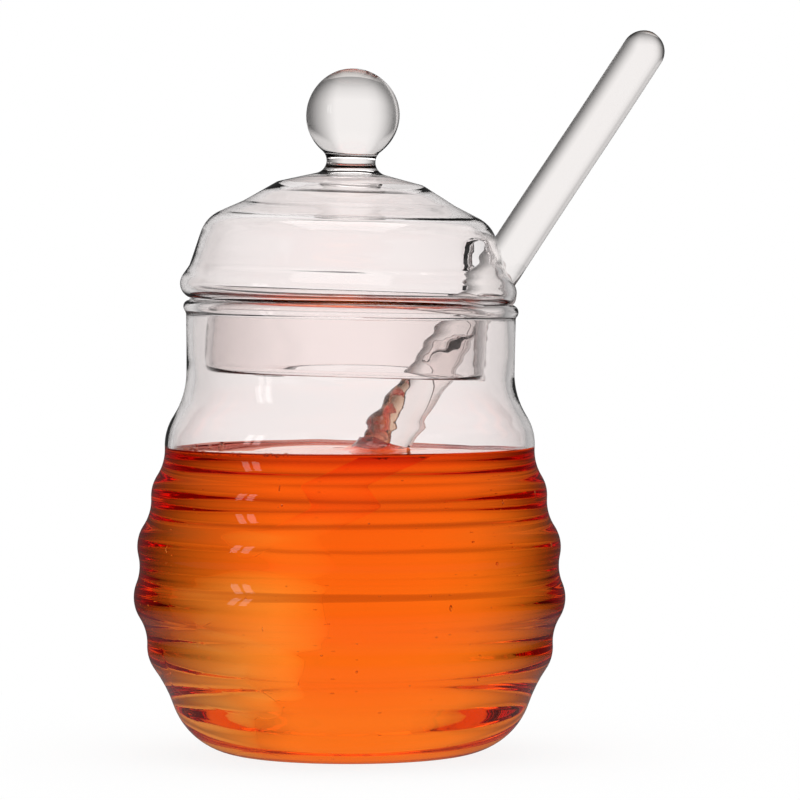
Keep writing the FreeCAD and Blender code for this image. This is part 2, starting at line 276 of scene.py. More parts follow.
jar_wall = [JAR_FOOT]
for reach, height in JAR_RIDGES:
    ridge = (reach - JAR_RIDGE_ROUND, height, JAR_RIDGE_ROUND, 1)
    cove_round = JAR_COVE_ROUND if len(jar_wall) > 1 else JAR_FOOT_COVE_ROUND
    jar_wall += [cove_between(jar_wall[-1], ridge, cove_round), ridge]
jar_wall += [cove_between(jar_wall[-1], JAR_SHOULDER, JAR_COVE_ROUND), JAR_SHOULDER]
jar_wall.append(cove_beside(JAR_SHOULDER, JAR_NECK + JAR_NECK_COVE_ROUND, JAR_NECK_COVE_ROUND, 1))
rim_bead = (JAR_NECK + RIM_STAND - RIM_ROUND, rim_height - RIM_ROUND, RIM_ROUND, 1)
jar_points, jar_normals = trace(
    [corner(0.0, 0.0), *jar_wall, cove_beside(rim_bead, JAR_NECK + RIM_COVE_ROUND, RIM_COVE_ROUND, -1),
     rim_bead, cove_beside(rim_bead, JAR_NECK - JAR_WALL - RIM_COVE_ROUND, RIM_COVE_ROUND, -1),
     *lining(jar_wall, JAR_WALL), corner(0.0, JAR_WALL)])
jar_top = int(np.argmax(jar_points[:, 1]))


def jar_outside(angle, height, across):
    """The mould leaves the rings slightly out of true."""
    calm = min(1.0, height / 12.0)
    return calm * uneven(11, 0.16, angle, height, 3, 90.0, 22.0)


def jar_inside(angle, height, across):
    """The inner face only follows the mould, so the wall's thickness varies."""
    calm = min(1.0, height / 9.0) * min(1.0, (rim_height - height + 2.0) / 12.0)
    return jar_outside(angle, height, across) + calm * (
        uneven(12, 0.06, angle, height, 4, 30.0, 8.0) + uneven(13, 0.02, angle, height, 2, 6.0, 3.0))


def slant(rings):
    """The rim was cut a little out of square: it is lower towards +X."""
    for ring in rings:
        part = np.clip((ring[:, 2] - RIM_SLANT_FROM) / (rim_height - RIM_SLANT_FROM), 0.0, 1.0)
        ring[:, 2] -= RIM_SLANT * ring[:, 0] * part * part
    return rings


jar_rings = slant(turned(jar_points[:jar_top], jar_normals[:jar_top], JAR_COLUMNS, jar_outside)
                  + turned(jar_points[jar_top:], -jar_normals[jar_top:], JAR_COLUMNS, jar_inside))


def glass(name, tint, ior=1.47, waves=(0.06, 35.0)):
    """Clear glass with faint waves in its surface from its making, as strong and as close as
    waves says. Its tint drifts by a hundredth."""
    material = bpy.data.materials.new(name)
    shader = Shader(material)
    place = shader.add("ShaderNodeTexCoord", output="Object")
    drawn = shader.add("ShaderNodeMapping", {}, {"Vector": place, "Scale": (1.0, 1.0, 2.6)})
    wave = shader.add("ShaderNodeTexNoise", {}, {"Vector": drawn, "Scale": waves[1], "Detail": 2.0})
    drift = shader.add("ShaderNodeTexNoise", {}, {"Vector": place, "Scale": 60.0, "Detail": 5.0})
    bump = shader.add("ShaderNodeBump", {}, {"Strength": waves[0], "Distance": 0.002, "Height": wave})
    paler = [min(1.0, part * 1.01) for part in tint]
    shade = shader.add("ShaderNodeMix", {"data_type": "RGBA"},
                       {0: drift, 6: (*tint, 1.0), 7: (*paler, 1.0)}, output=2)
    body = shader.add("ShaderNodeBsdfPrincipled", {}, {
        "Base Color": shade, "Roughness": 0.0, "IOR": ior, "Transmission Weight": 1.0, "Normal": bump})
    shader.finish("ShaderNodeOutputMaterial", body)
    return material


def wet_faces(piece, wet):
    """Glass that honey wets has no shine of its own: its faces there get the second material."""
    for face in piece.data.polygons:
        face.material_index = int(wet(face))


HONEY_LEVEL = (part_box("honey")[1].z - foot.z) / MM
HONEY_CLIMB = 0.7
GLASS_TINT = (0.985, 0.948, 0.942)
NO_TINT = (1.0, 1.0, 1.0)

jar = tidy(skin("jar_glass_wall", jar_rings))
jar.location = foot
jar.data.materials.append(glass("jar_glass_clear", GLASS_TINT))
jar.data.materials.append(glass("jar_glass_wetted", NO_TINT, ior=1.0))
wet_up_to = (HONEY_LEVEL + HONEY_CLIMB - 0.4) * MM
wet_faces(jar, lambda face: face.center.z < wet_up_to and is_inside(face))
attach(jar, "root")
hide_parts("jar")


# ---- Dipper --------------------------------------------------------------------------------
# The dipper is drawn from solid glass rod. Its head is a stack of rings melted round, and its
# other end is melted to a half ball. It leans on the rim and on the wall at the foot.

SOLID_TINT = (0.925, 0.89, 0.876)
DIPPER_LENGTH = 164.5
ROD_BEND_FROM = 88.0
ROD_BEND = 1.4
ROD_STRETCH = 1.4
DIPPER_LEAN = math.radians(33.33)
DIPPER_AZIMUTH = math.radians(14.0)
HEAD_CORE = 9.2
ROD_ROUND = 4.1
HEAD_ROUND = 12.0
HEAD_REACH = 21.0
HEAD_RINGS = 6
HEAD_END_ROUND = 9.0
RING_PITCH = 6.4
RING_ROUND = 1.45
GROOVE_ROUND = 1.5
FIRST_RING = 2.4
ROD_COVE_ROUND = 3.0

dipper_pegs = [corner(0.0, 0.0), (0.0, HEAD_END_ROUND, HEAD_END_ROUND, 1)]
for k in range(HEAD_RINGS):
    away = (k - (HEAD_RINGS - 1) / 2) * RING_PITCH / HEAD_REACH
    if k:
        groove_height = FIRST_RING + (k - 0.5) * RING_PITCH
        dipper_pegs.append((HEAD_CORE + GROOVE_ROUND, groove_height, GROOVE_ROUND, -1))
    ring_reach = HEAD_ROUND * math.sqrt(1 - away**2)
    dipper_pegs.append((ring_reach - RING_ROUND, FIRST_RING + k * RING_PITCH, RING_ROUND, 1))
dipper_pegs.append(cove_beside(dipper_pegs[-1], ROD_ROUND + ROD_COVE_ROUND, ROD_COVE_ROUND, 1))
dipper_pegs += [(0.0, DIPPER_LENGTH - ROD_ROUND, ROD_ROUND, 1), corner(0.0, DIPPER_LENGTH)]
dipper_points, dipper_normals = trace(dipper_pegs, bend=7.0, run=1.5)


def rod_bulge(angle, height, across):
    """A drawn rod is never quite even, and this one is thicker above the rim."""
    thicker = np.interp(height, (60.0, 100.0, 160.0), (0.0, 0.3, 0.2))
    return uneven(21, 0.04, angle, height, 2, 90.0, 25.0) + thicker


def lean_dipper(piece):
    """Put a piece that was made upright on the dipper's axis where the dipper leans. Above the
    rim the rod drifts off its line, away from the jar, and is a little longer."""
    for point in piece.data.vertices:
        past = max(0.0, point.co.z / MM - ROD_BEND_FROM) / (DIPPER_LENGTH - ROD_BEND_FROM)
        point.co.x += ROD_BEND * past * MM
        point.co.z += ROD_STRETCH * past * MM
    turn = Matrix.Rotation(DIPPER_AZIMUTH, 4, "Z") @ Matrix.Rotation(DIPPER_LEAN, 4, "Y")
    lift = Matrix.Translation((0, 0, -(DIPPER_LENGTH - ROD_ROUND) * MM))
    piece.data.transform(Matrix.Translation(dipper_high) @ turn @ lift)
    return piece


dipper_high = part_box("dipper")[1] - Vector((1, 1, 1)) * ROD_ROUND * MM


def dipper_axis_at(height):
    """Where the dipper's axis crosses a level, in millimetres from the jar's axis."""
    high = (dipper_high - foot) / MM
    out = (high.z - height) * math.tan(DIPPER_LEAN)
    return high.x - out * math.cos(DIPPER_AZIMUTH), high.y - out * math.sin(DIPPER_AZIMUTH)


def honey_surface(x, y, wall_gap=40.0):
    """The level, with a climb at the wall and one round the rod, where it is an oval."""
    rod_x, rod_y = dipper_axis_at(HONEY_LEVEL)
    cos, sin = math.cos(DIPPER_AZIMUTH), math.sin(DIPPER_AZIMUTH)
    lengthways = ((x - rod_x) * cos + (y - rod_y) * sin) * math.cos(DIPPER_LEAN)
    beside = (y - rod_y) * cos - (x - rod_x) * sin
    rod_gap = np.maximum(np.hypot(lengthways, beside) - ROD_ROUND, 0.0)
    under = 1.0 + 0.7 * np.clip(-lengthways / ROD_ROUND, -1.0, 1.0)
    at_wall, at_rod = HONEY_CLIMB * np.exp(-wall_gap / 1.0), 1.7 * under * np.exp(-rod_gap / 1.3)
    return HONEY_LEVEL - 0.2 + at_wall + at_rod + 0.006 * x


dipper_rings = turned(dipper_points, dipper_normals, 192, rod_bulge)
dipper = lean_dipper(tidy(skin("dipper_glass_rod", dipper_rings)))
dipper.data.materials.append(glass("dipper_glass_drawn", SOLID_TINT, waves=(0.03, 12.0)))
dipper.data.materials.append(glass("dipper_glass_wetted", NO_TINT, ior=1.0))
wet_faces(dipper, lambda face: face.center.z - foot.z < honey_surface(
    (face.center.x - foot.x) / MM, (face.center.y - foot.y) / MM) * MM)
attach(dipper, "root")
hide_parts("dipper")


# ---- Honey ---------------------------------------------------------------------------------
# Clear liquid honey fills the jar to the shoulder. It wets the glass, so it climbs a little at
# the wall and round the rod, and it reaches just into both so that no air shows between.

HONEY_BITE = 0.12
HONEY_COLUMNS = 288
HONEY_DEPTH = 85.0
HONEY_COLOUR = (0.998, 0.72, 0.2)
# Painted shade: the honey's tints towards its top and just under its level.
HONEY_UPPER_PAINTED_SHADE = (0.97, 0.5, 0.35)
HONEY_BRIM_PAINTED_SHADE = (0.62, 0.16, 0.12)

fill_wall = [(x, z, r - side * (JAR_WALL - HONEY_BITE), side) for x, z, r, side in jar_wall]
fill_points, fill_normals = trace([corner(0.0, JAR_WALL - HONEY_BITE), *fill_wall,
                                   corner(JAR_NECK - JAR_WALL + HONEY_BITE, rim_height)])
below = fill_points[:, 1] < HONEY_LEVEL + HONEY_CLIMB
honey_rings = turned(fill_points[below], fill_normals[below], HONEY_COLUMNS, jar_inside)
wall_ring = honey_rings[-1]
wall_rings = len(honey_rings)

wall_reach = np.hypot(wall_ring[:, 0], wall_ring[:, 1])
direction = wall_ring[:, :2] / wall_reach[:, None]
close_gaps = np.array((0.1, 0.3, 0.6, 0.9, 1.3, 1.8, 2.4, 3.1))
for gap in np.concatenate((close_gaps, np.arange(3.8, 34.0, 0.6))):
    ring_reach = wall_reach - gap * (wall_reach / wall_reach.max())
    flat = direction * ring_reach[:, None]
    top = honey_surface(flat[:, 0], flat[:, 1], gap)
    honey_rings.append(np.column_stack((flat, top)))
honey_rings.append(np.array([(0.0, 0.0, HONEY_LEVEL)]))
honey = tidy(skin("honey_fill", honey_rings))
honey.location = foot

on_axis = dipper_points[:, :1] <= 1e-6
core_points = (dipper_points - dipper_normals * HONEY_BITE * ~on_axis
               + np.array((0.0, HONEY_BITE)) * on_axis * (dipper_points[:, 1:] < 1.0))
core = lean_dipper(tidy(skin("dipper_core", turned(core_points, dipper_normals, 96, rod_bulge))))
cut = honey.modifiers.new("dipper_room", "BOOLEAN")
cut.operation = "DIFFERENCE"
cut.solver = "EXACT"
cut.object = core
bpy.context.view_layer.objects.active = honey
bpy.ops.object.modifier_apply(modifier=cut.name)
bpy.data.objects.remove(core)
honey.data.polygons.foreach_set("use_smooth", [True] * len(honey.data.polygons))
honey.data.set_sharp_from_angle(angle=math.radians(50.0))

open_faces = honey.data.attributes.new("open_to_air", "FLOAT", "FACE")
surface_from = (HONEY_LEVEL - 1.0) * MM


def is_open(face):
    """Whether a face of the honey is its free surface, not against the jar or the dipper."""
    return face.center.z >= surface_from and face.normal.z >= 0.2


open_faces.data.foreach_set("value", [float(is_open(face)) for face in honey.data.polygons])


def honey_material(name):
    """Clear honey. Light passes unbent from the glass into it, so only its free surface shines.
    Its colour comes from its depth. Towards its top it is redder and darker by painted shade,
    with a darker band of painted shade just under the level, and where it lies against the glass
    and the dipper it gives a faint red glow, which is painted light."""
    material = bpy.data.materials.new(name)
    shader = Shader(material)
    place = shader.add("ShaderNodeTexCoord", output="Object")
    slow = shader.add("ShaderNodeTexNoise", {}, {
        "Vector": place, "Scale": 30.0, "Detail": 2.0, "Distortion": 0.6})
    bump = shader.add("ShaderNodeBump", {}, {"Strength": 0.3, "Distance": 0.002, "Height": slow})
    height = shader.add("ShaderNodeSeparateXYZ", {}, {"Vector": place}, output="Z")
    # Painted shade by height: redder and darker towards the top, darker still just under the level.
    upper_painted_shade = shader.add("ShaderNodeMapRange", {"interpolation_type": "SMOOTHSTEP"}, {
        "Value": height, "From Min": 0.034, "From Max": 0.062})
    brim_painted_shade = shader.add("ShaderNodeMapRange", {"interpolation_type": "SMOOTHSTEP"}, {
        "Value": height, "From Min": 0.0575, "From Max": 0.0598})
    shade = shader.add("ShaderNodeMix", {"data_type": "RGBA"},
                       {0: upper_painted_shade, 6: (1.0, 1.0, 1.0, 1.0), 7: (*HONEY_UPPER_PAINTED_SHADE, 1.0)}, output=2)
    shade = shader.add("ShaderNodeMix", {"data_type": "RGBA"},
                       {0: brim_painted_shade, 6: shade, 7: (*HONEY_BRIM_PAINTED_SHADE, 1.0)}, output=2)
    # The faces against the glass and the dipper give a faint red glow: painted light, not a lamp.
    against = shader.add("ShaderNodeBsdfPrincipled", {}, {
        "Base Color": shade, "Roughness": 0.0, "IOR": 1.003, "Transmission Weight": 1.0, "Normal": bump,
        "Emission Color": (1.0, 0.03, 0.0, 1.0), "Emission Strength": 0.015})
    free = shader.add("ShaderNodeBsdfPrincipled", {}, {
        "Base Color": (1.0, 0.97, 0.93, 1.0), "Roughness": 0.0, "IOR": 1.49, "Transmission Weight": 1.0})
    opened = shader.add("ShaderNodeAttribute", {"attribute_name": "open_to_air"}, output="Fac")
    both = shader.add("ShaderNodeMixShader", {}, {0: opened, 1: against, 2: free})
    depth = shader.add("ShaderNodeVolumeAbsorption", {}, {
        "Color": (*HONEY_COLOUR, 1.0), "Density": HONEY_DEPTH})
    shader.finish("ShaderNodeOutputMaterial", both, depth)
    return material


honey.data.materials.clear()
honey.data.materials.append(honey_material("honey_clear"))
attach(honey, "root")
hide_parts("honey")


# ---- Honey on the rod ----------------------------------------------------------------------
# Some honey has stayed on the rod above the level, a thick uneven coat on its left side. It was
# left there when the dipper was last dipped, and it runs back into the fill.

COAT_LENGTH = 15.5
COAT_THICKNESS = 1.45
COAT_SPREAD = 1.45
COAT_BELOW = 3.0

rod_above = ((dipper_high.z - foot.z) / MM - HONEY_LEVEL) / math.cos(DIPPER_LEAN)
surface_at = DIPPER_LENGTH - ROD_ROUND - rod_above
sweep = np.linspace(-COAT_SPREAD, COAT_SPREAD, 61)
coat_outer, coat_inner, coat_on = [], [], []
for run in np.linspace(-COAT_BELOW, COAT_LENGTH * 1.15, 90):
    up = max(0.0, run) / COAT_LENGTH
    ragged = 0.16 * uneven(52, 1.0, sweep * 2.0, run, 3, 9.0, 2.5)
    cover = 1.0 - np.abs(sweep / (COAT_SPREAD * (0.92 - 0.3 * up))) ** 3 - up**3 + ragged
    cover[[0, -1]] = -1.0
    if run > COAT_LENGTH * 1.12:
        cover[:] = -1.0
    lumps = 0.85 + 0.2 * uneven(53, 1.0, sweep * 1.5, run, 2, 9.0, 3.5)
    thinning = (1.0 - 0.45 * up) * np.sqrt(np.clip(cover, 0, 1))
    thick = np.where(cover > 0, COAT_THICKNESS * lumps * thinning, 0.0)
    skin_radius = ROD_ROUND + rod_bulge(sweep, surface_at + run, ROD_ROUND) - 0.06
    for rings, radius in ((coat_outer, skin_radius + thick), (coat_inner, skin_radius - 0.08 * (cover > 0))):
        rings.append(ring_at(radius, sweep + math.pi, surface_at + run))
    coat_on.append(cover > 0)


def drop_empty(piece, covered):
    """Leave only the cells of a grid that have a covered corner."""
    work = bmesh.new()
    work.from_mesh(piece.data)
    work.verts.index_update()
    covered = np.concatenate(covered)
    empty = [face for face in work.faces if not any(covered[point.index] for point in face.verts)]
    bmesh.ops.delete(work, geom=empty, context="FACES")
    work.to_mesh(piece.data)
    work.free()
    return piece


def joined(pieces, distance=1e-7):
    """Several meshes as one piece, merged where they meet."""
    bpy.ops.object.select_all(action="DESELECT")
    for part in pieces:
        part.select_set(True)
    bpy.context.view_layer.objects.active = pieces[0]
    bpy.ops.object.join()
    return tidy(pieces[0], distance)


def honey_film(name, tint, density, ior=1.45):
    """A thin layer of honey, whose colour comes from its depth."""
    material = bpy.data.materials.new(name)
    shader = Shader(material)
    place = shader.add("ShaderNodeTexCoord", output="Object")
    streak = shader.add("ShaderNodeTexNoise", {}, {"Vector": place, "Scale": 400.0, "Detail": 2.0})
    bump = shader.add("ShaderNodeBump", {}, {"Strength": 0.2, "Distance": 0.0005, "Height": streak})
    shade = shader.add("ShaderNodeMix", {"data_type": "RGBA"}, {
        0: streak, 6: (1.0, 0.93, 0.86, 1.0), 7: (0.95, 0.85, 0.72, 1.0)}, output=2)
    body = shader.add("ShaderNodeBsdfPrincipled", {}, {
        "Base Color": shade, "Roughness": 0.0, "IOR": ior, "Transmission Weight": 1.0, "Normal": bump})
    depth = shader.add("ShaderNodeVolumeAbsorption", {}, {"Color": (*tint, 1.0), "Density": density})
    shader.finish("ShaderNodeOutputMaterial", body, depth)
    return material


coat = joined([drop_empty(skin("honey_on_rod", rings, closed=False), coat_on)
               for rings in (coat_outer, coat_inner)])
lean_dipper(coat)
coat.data.materials.append(honey_film("honey_film_thick", (0.66, 0.36, 0.12), 1300.0))
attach(coat, "root")


# ---- Bubbles -------------------------------------------------------------------------------
# Small air bubbles hang in the honey, and a line of foam lies along the wall on the left. They
# were stirred in, and the thick honey holds them.

FOAM_BUBBLES = 46
DEEP_BUBBLES = 90
CLEAR_OF_DIPPER = 17.0


def bubble(name, centre, radius, flat=1.0):
    """One closed bubble, a little flattened."""
    across = np.linspace(0.0, math.tau, 12, endpoint=False)
    rings = [np.array([(0.0, 0.0, -radius * flat)])]
    for tilt in np.linspace(-math.pi / 2, math.pi / 2, 9)[1:-1]:
        rings.append(ring_at(radius * math.cos(tilt), across, radius * flat * math.sin(tilt)))
    rings.append(np.array([(0.0, 0.0, radius * flat)]))
    return skin(name, [ring + np.array(centre) for ring in rings])


scatter = np.random.default_rng(61)
foam = []
for k in range(FOAM_BUBBLES):
    turn = scatter.uniform(math.radians(140), math.radians(250))
    size = scatter.uniform(0.2, 0.62)
    column = int(turn / math.tau * HONEY_COLUMNS)
    near = float(wall_reach[column]) - size - scatter.uniform(0.1, 0.5) ** 2 * 4
    x, y = near * math.cos(turn), near * math.sin(turn)
    up = honey_surface(x, y, wall_reach[column] - near) + size * 0.35
    foam.append(bubble("honey_foam", (x, y, up), size, 0.8))
foam = joined(foam, 1e-9)
foam.location = foot
foam.data.materials.append(honey_film("honey_foam_skin", (0.9, 0.6, 0.3), 150.0, ior=1.18))

deep = []
wall_heights = [ring[0, 2] for ring in honey_rings[3:wall_rings]]
wall_reaches = [math.hypot(*ring[0, :2]) for ring in honey_rings[3:wall_rings]]
while len(deep) < DEEP_BUBBLES:
    turn = scatter.uniform(0, math.tau)
    near = 36.0 * math.sqrt(scatter.uniform())
    up = scatter.uniform(6.0, 56.0)
    x, y = near * math.cos(turn), near * math.sin(turn)
    rod_x, rod_y = dipper_axis_at(up)
    size = scatter.uniform(0.09, 0.24)
    wall = float(np.interp(up, wall_heights, wall_reaches))
    if near < wall - 1.0 and math.hypot(x - rod_x, y - rod_y) > CLEAR_OF_DIPPER:
        deep.append(bubble("honey_bubbles", (x, y, up), size))
deep = joined(deep, 1e-9)
deep.location = foot
deep.data.materials.append(glass("bubble_air", NO_TINT, ior=0.68))
for piece in (foam, deep):
    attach(piece, "root")


# ---- Lid -----------------------------------------------------------------------------------
# The lid is a thin blown dome of two tiers with a solid ball knob. Below its rolled edge hangs
# an open ring, and a slot for the dipper is cut through all of it and its edge is melted round.

LID_WALL = 1.5
LID_RING = 27.9
LID_EDGE = 33.6
LID_ROLL_HEIGHT = 17.2
LID_ROLL_ROUND = 3.1
LID_LEAN = math.radians(1.7)
KNOB_ROUND = 9.3
KNOB_RISE = 10.4
KNOB_NECK = 4.9
KNOB_NECK_COVE_ROUND = 2.6
CROWN_HEIGHT = 36.0
CROWN_EDGE_ROUND = 2.2
CROWN_ROUND = 12.0
CROWN_SLOPE = math.radians(14.0)
SLOT_HALF = 8.5
SLOT_TOP = 28.8
SLOT_AZIMUTH = math.radians(19.0)
SLOT_ROWS = 64
LID_COLUMNS = 256

roll = (LID_EDGE - LID_ROLL_ROUND, LID_ROLL_HEIGHT, LID_ROLL_ROUND, 1)
lower_tier_cove = (LID_EDGE - 2.0 + 1.6, 21.6, 1.6, -1)
lower_tier = (LID_EDGE - 3.65 - 7.2, 25.3, 7.2, 1)
upper_tier_cove = (LID_EDGE - 16.7 + 8.1, 41.15, 8.1, -1)
crown_edge = (LID_EDGE - 17.75 - CROWN_EDGE_ROUND, CROWN_HEIGHT, CROWN_EDGE_ROUND, 1)
crown_centre = (CROWN_HEIGHT + crown_edge[0] * math.tan(CROWN_SLOPE)
                + (CROWN_EDGE_ROUND - CROWN_ROUND) / math.cos(CROWN_SLOPE))
knob = (0.0, crown_centre + CROWN_ROUND + KNOB_RISE, KNOB_ROUND, 1)
knob_neck = cove_beside(knob, KNOB_NECK + KNOB_NECK_COVE_ROUND, KNOB_NECK_COVE_ROUND, -1)
lip_middle = LID_RING - LID_WALL / 2
lid_wall = [(lip_middle, LID_WALL / 2, LID_WALL / 2, 1), cove_beside(roll, LID_RING + 0.8, 0.8, -1), roll,
            lower_tier_cove, lower_tier, upper_tier_cove, crown_edge]
lid_outer, lid_normals = trace([corner(lip_middle, 0.0), *lid_wall, knob_neck, knob,
                                corner(0.0, knob[1] + KNOB_ROUND)], bend=5.0)

# The inner face is the shell set in by the wall, with the lip mirrored, then the crown's underside.
shell = int(np.argmax(lid_outer[:, 1] > crown_edge[1] + 1.2))
in_lip = lid_outer[:shell, 1] < LID_WALL / 2
lid_inner = lid_outer[:shell] - lid_normals[:shell] * LID_WALL
lid_inner[:, 0] = np.where(in_lip, 2 * lip_middle - lid_outer[:shell, 0], lid_inner[:, 0])
lid_inner[:, 1] = np.where(in_lip, lid_outer[:shell, 1], lid_inner[:, 1])
crown_under = crown_centre + CROWN_ROUND - LID_WALL
last = lid_inner[-1]
left = 1 - np.linspace(0.0, 1.0, 12)[1:]
underside = np.column_stack((last[0] * left, crown_under - (crown_under - last[1]) * left**2))
lid_inner = np.vstack((lid_inner, underside))
lid_inner_normals = np.vstack((lid_normals[:shell], np.tile((0.0, 1.0), (len(left), 1))))


def along(points):
    """The length along a line of points, up to each of them."""
    return np.concatenate(((0.0,), np.cumsum(np.linalg.norm(np.diff(points, axis=0), axis=1))))


def rows_to_top(points, normals, count):
    """The wall's points from its lip to the slot's top, then the rest, rows close at the top."""
    length = along(points)
    past = int(np.argmax(points[:, 1] > SLOT_TOP))
    share = (SLOT_TOP - points[past - 1, 1]) / (points[past, 1] - points[past - 1, 1])
    top = length[past - 1] + share * (length[past] - length[past - 1])
    spread = np.linspace(0.0, 1.0, count)
    close = 1 - (1 - spread[-7]) * np.linspace(1, 0, 7)[1:] ** 2.2
    places = top * np.sort(np.concatenate((spread[:-6], close)))
    new = np.column_stack([np.interp(places, length, points[:, k]) for k in (0, 1)])
    slopes = np.column_stack([np.interp(places, length, normals[:, k]) for k in (0, 1)])
    return np.vstack((new, points[past:])), np.vstack((slopes, normals[past:]))


outer_rows, outer_slopes = rows_to_top(lid_outer, lid_normals, SLOT_ROWS)
inner_rows, inner_slopes = rows_to_top(lid_inner, lid_inner_normals, SLOT_ROWS)


def slot_half(height, side):
    """Half the slot's width. The melted edge wanders a little, on each side in its own way."""
    past = max(0.0, height - (SLOT_TOP - SLOT_HALF)) / SLOT_HALF
    arch = SLOT_HALF * math.sqrt(max(0.0, 1 - past**2))
    wander = float(uneven(31 + side, 0.65, 0.0, height, 0, 9.0, 2.0, 8))
    return max(0.0, arch + wander * min(1.0, arch / 4.0))


def lid_outside(angle, height, across):
    """The lid is blown and turned by hand, so it is never quite round."""
    return uneven(41, 0.12, angle, height, 3, 40.0, 9.0) * min(1.0, across / 10.0)


def lid_inside(angle, height, across):
    """The tool leaves fine lines round the inner face."""
    lines = uneven(44, 0.045, angle, height, 1, 7.0, 1.8, 10) + uneven(45, 0.05, angle, height, 3, 22.0, 6.0)
    calm = min(1.0, max(0.0, height - 1.5) / 3.0)
    return lid_outside(angle, height, across) + lines * calm * min(1.0, across / 12.0)


def lid_rings(rows, slopes, bulge, face):
    """Rings of one face of the lid, open where the slot is. The melted edge is swollen."""
    rings = []
    base = np.linspace(0.0, math.tau, LID_COLUMNS + 1)
    ease_first = np.clip(1 - base / 1.2, 0.0, 1.0) ** 2
    ease_second = np.clip(1 - (math.tau - base) / 1.2, 0.0, 1.0) ** 2
    for k, ((across, up), (nx, nz)) in enumerate(zip(rows, slopes)):
        if across < 1e-6:
            rings.append(np.array([(0.0, 0.0, up)]))
            continue
        first = second = 0.0
        if k < SLOT_ROWS - 1:
            first = math.asin(min(0.9, slot_half(up, 0) / across))
            second = math.asin(min(0.9, slot_half(up, 1) / across))
        angle = base + first * ease_first - second * ease_second
        out = bulge(angle, up, across)
        if k < SLOT_ROWS - 1:
            edge = np.minimum(angle - first, math.tau - second - angle) * across
            swell = 0.32 + uneven(35, 0.16, 0.0, up, 0, 6.0, 1.8, 6)
            out = out + face * swell * np.exp(-(edge / 1.5) ** 2)
        rings.append(ring_at(across + nx * out, angle + SLOT_AZIMUTH, up + nz * out))
    return rings


outer_rings = lid_rings(outer_rows, outer_slopes, lid_outside, 1)
inner_rings = lid_rings(inner_rows, inner_slopes, lid_inside, -1)
inner_rings[0] = outer_rings[0]
lid = skin("lid_glass_dome", outer_rings[::-1] + inner_rings[1:], closed=False)


def slot_edge(column, side):
    """The melted edge of the slot on one side: rounds across the wall, from lip to top."""
    sideways = np.array((-math.sin(SLOT_AZIMUTH), math.cos(SLOT_AZIMUTH), 0.0)) * (1 if side else -1)
    rings = []
    for k in range(SLOT_ROWS):
        first, second = outer_rings[k][column], inner_rings[k][column]
        middle, half = (first + second) / 2, (first - second) / 2
        up = middle[2] - (SLOT_TOP - SLOT_HALF)
        width = abs(float(np.dot(middle, sideways)))
        inward = sideways
        if up > 0:
            inward = (sideways * width - np.array((0, 0, 1.0)) * up) / max(1e-6, math.hypot(width, up))
        depth = min(1.0, np.linalg.norm(half) / (LID_WALL / 2)) * 0.8
        sweep = np.linspace(0.0, math.pi, 9)
        rings.append(middle + half * np.cos(sweep)[:, None] + inward * depth * np.sin(sweep)[:, None])
    return skin("slot_edge", rings, closed=False)


lid = joined([lid, slot_edge(0, 1), slot_edge(-1, 0)], 2e-6)
seat = Vector((-0.5 * MM, 0.0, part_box("lid")[1].z - (knob[1] + KNOB_ROUND - LID_ROLL_HEIGHT) * MM))
lid.data.transform(Matrix.Translation(seat) @ Matrix.Rotation(LID_LEAN, 4, "Y")
                   @ Matrix.Translation((0, 0, -LID_ROLL_HEIGHT * MM)))
lid.data.materials.append(glass("lid_glass_clear", GLASS_TINT))
lid.data.materials.append(glass("lid_glass_knob", SOLID_TINT))
knob_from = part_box("lid")[1].z - (2 * KNOB_ROUND + 3.0) * MM
for face in lid.data.polygons:
    face.material_index = int(face.center.z > knob_from)
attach(lid, "root")
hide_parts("lid")


# ---- Studio --------------------------------------------------------------------------------
# The jar stands on a white table in a white room. Glass shows the room's walls, which are bright
# behind it and darker to both sides, so its edges are drawn. Two tall panels stand at the front
# left, and one is overhead.

# The walls' brightness, by degrees round the room. Zero is behind the jar, and plus is to +X.
WALLS = [(degrees / 360.0 + 0.5, (level,) * 3) for degrees, level in (
    (-180, 0.9), (-150, 0.9), (-120, 0.5), (-97, 0.12), (-72, 0.08), (-60, 0.13), (-51, 0.24),
    (-42, 0.45), (-33, 0.7), (-24, 0.92), (-15, 1.0), (12, 1.0), (18, 0.86), (24, 0.68), (30, 0.53),
    (37, 0.38), (45, 0.23), (56, 0.11), (66, 0.06), (92, 0.1), (120, 0.5), (150, 0.9), (180, 0.9))]


def facing(shader, vector):
    """The brightness of the room's walls in the direction of a vector, and its height."""
    across, deep, high = [shader.add("ShaderNodeSeparateXYZ", {}, {"Vector": vector}, output=axis)
                          for axis in range(3)]
    azimuth = shader.add("ShaderNodeMath", {"operation": "ARCTAN2"}, {0: across, 1: deep})
    return shader.add("ShaderNodeValToRGB", {"stops": WALLS}, {0: azimuth / math.tau + 0.5}), high


def rays(shader):
    """Whether a ray comes from the camera, from a reflection, or through glass."""
    return [shader.add("ShaderNodeLightPath", output=kind)
            for kind in ("Is Camera Ray", "Is Glossy Ray", "Is Transmission Ray")]


TABLE_REACH = 0.165
TABLE_SIDES = 96
table_turns = [math.tau * k / TABLE_SIDES for k in range(TABLE_SIDES)]
floor_mesh = bpy.data.meshes.new("table_top")
floor_mesh.from_pydata([(TABLE_REACH * math.cos(turn), TABLE_REACH * math.sin(turn), foot.z - 0.0002)
                        for turn in table_turns], [], [tuple(range(TABLE_SIDES))])
floor = bpy.data.objects.new("table_top", floor_mesh)
bpy.context.scene.collection.objects.link(floor)
floor_material = bpy.data.materials.new("table_white")
shader = Shader(floor_material)
place = shader.add("ShaderNodeTexCoord", output="Object")
away = shader.add("ShaderNodeVectorMath", {"operation": "LENGTH"}, {0: place}, output="Value")
